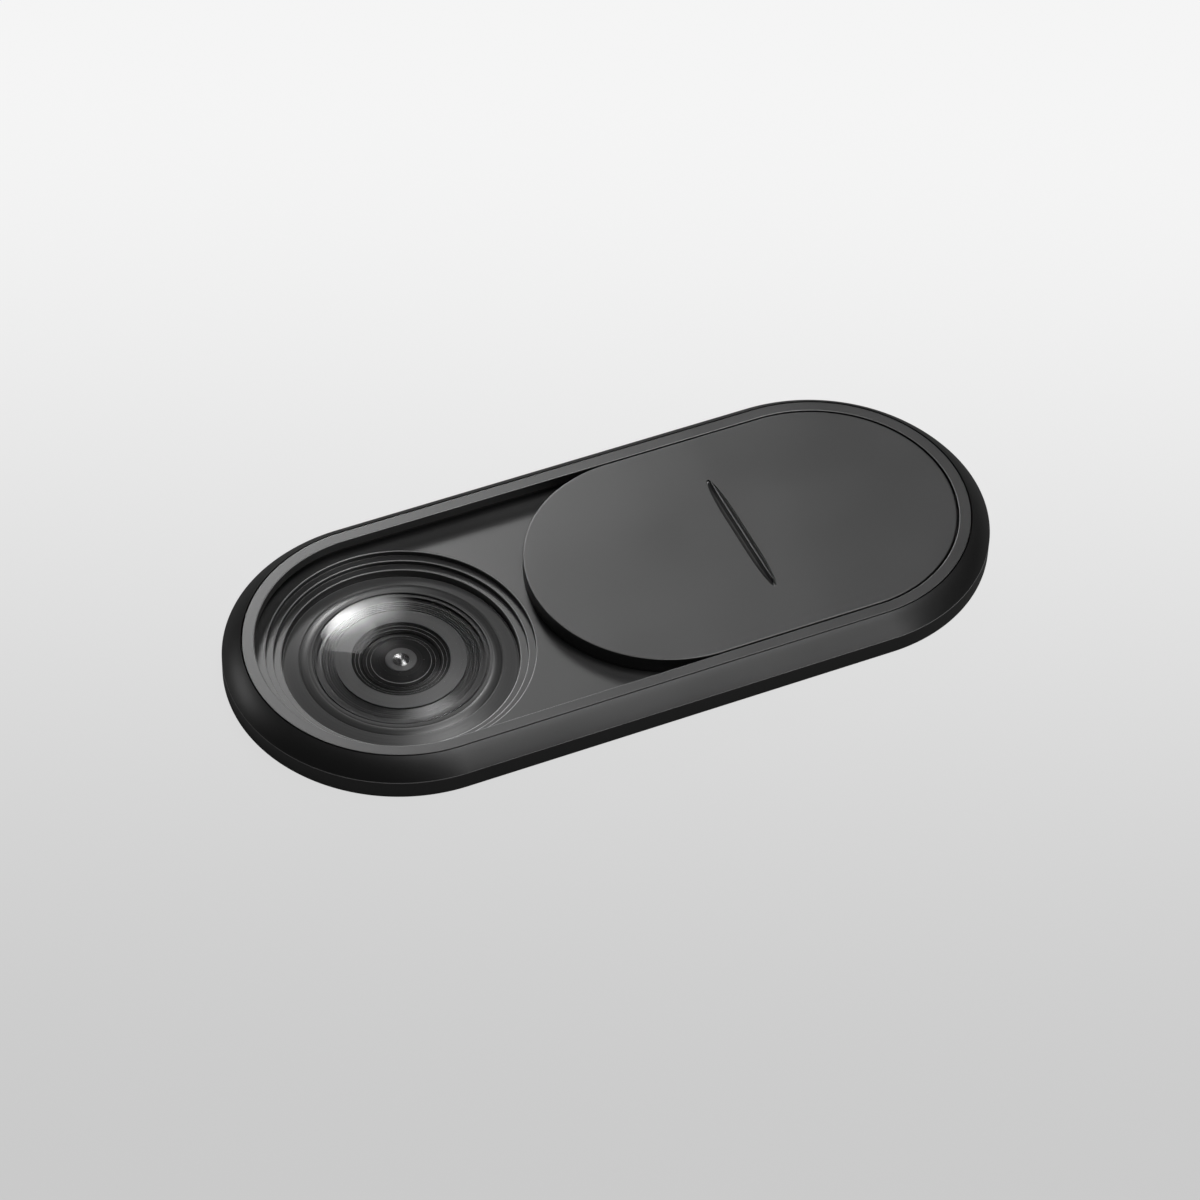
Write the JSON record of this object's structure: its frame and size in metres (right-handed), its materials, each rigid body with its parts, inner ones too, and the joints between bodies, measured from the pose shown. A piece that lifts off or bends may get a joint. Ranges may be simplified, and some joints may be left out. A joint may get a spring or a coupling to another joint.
{
  "type": "webcam cover slider",
  "caption": "Thin oval stick-on webcam cover with a bevelled surround, a sliding shutter with a grip ridge, and a small domed lens at the bottom of a stepped round window.",
  "frame": {"origin": "centre of the adhesive face on the back", "axes": "+X along the cover towards the end where the open shutter parks, +Z out of the front, away from the screen"},
  "size_m": [0.018, 0.0078, 0.001],
  "materials": {
    "housing": "dark grey, finely spark-eroded satin",
    "shutter": "dark grey, finely spark-eroded satin",
    "adhesive": "black acrylic film tape, smooth and tacky",
    "lens_black": "black, turned, low sheen",
    "lens_grey": "mid grey satin",
    "dark_glass": "polished, dark",
    "clear_glass": "polished, clear"
  },
  "bodies": {
    "housing": {"outer_frame": "housing", "track_ring": "housing", "base_plate": "housing", "adhesive_pad": "adhesive", "lens_bezel": "lens_black", "lens_back": "lens_black", "ribbed_baffle": "lens_black", "spacer_ring": "lens_grey", "inner_barrel": "lens_black", "inner_lens": "dark_glass", "iris_ring": "lens_grey", "pupil_lens": "dark_glass", "front_glass": "clear_glass"},
    "slider": {"shutter": "shutter"}
  },
  "joints": [
    {"name": "shutter_slide", "type": "slide", "parent": "housing", "child": "slider", "axis": [-1, 0, 0], "range_m": [0, 0.00634]}
  ]
}
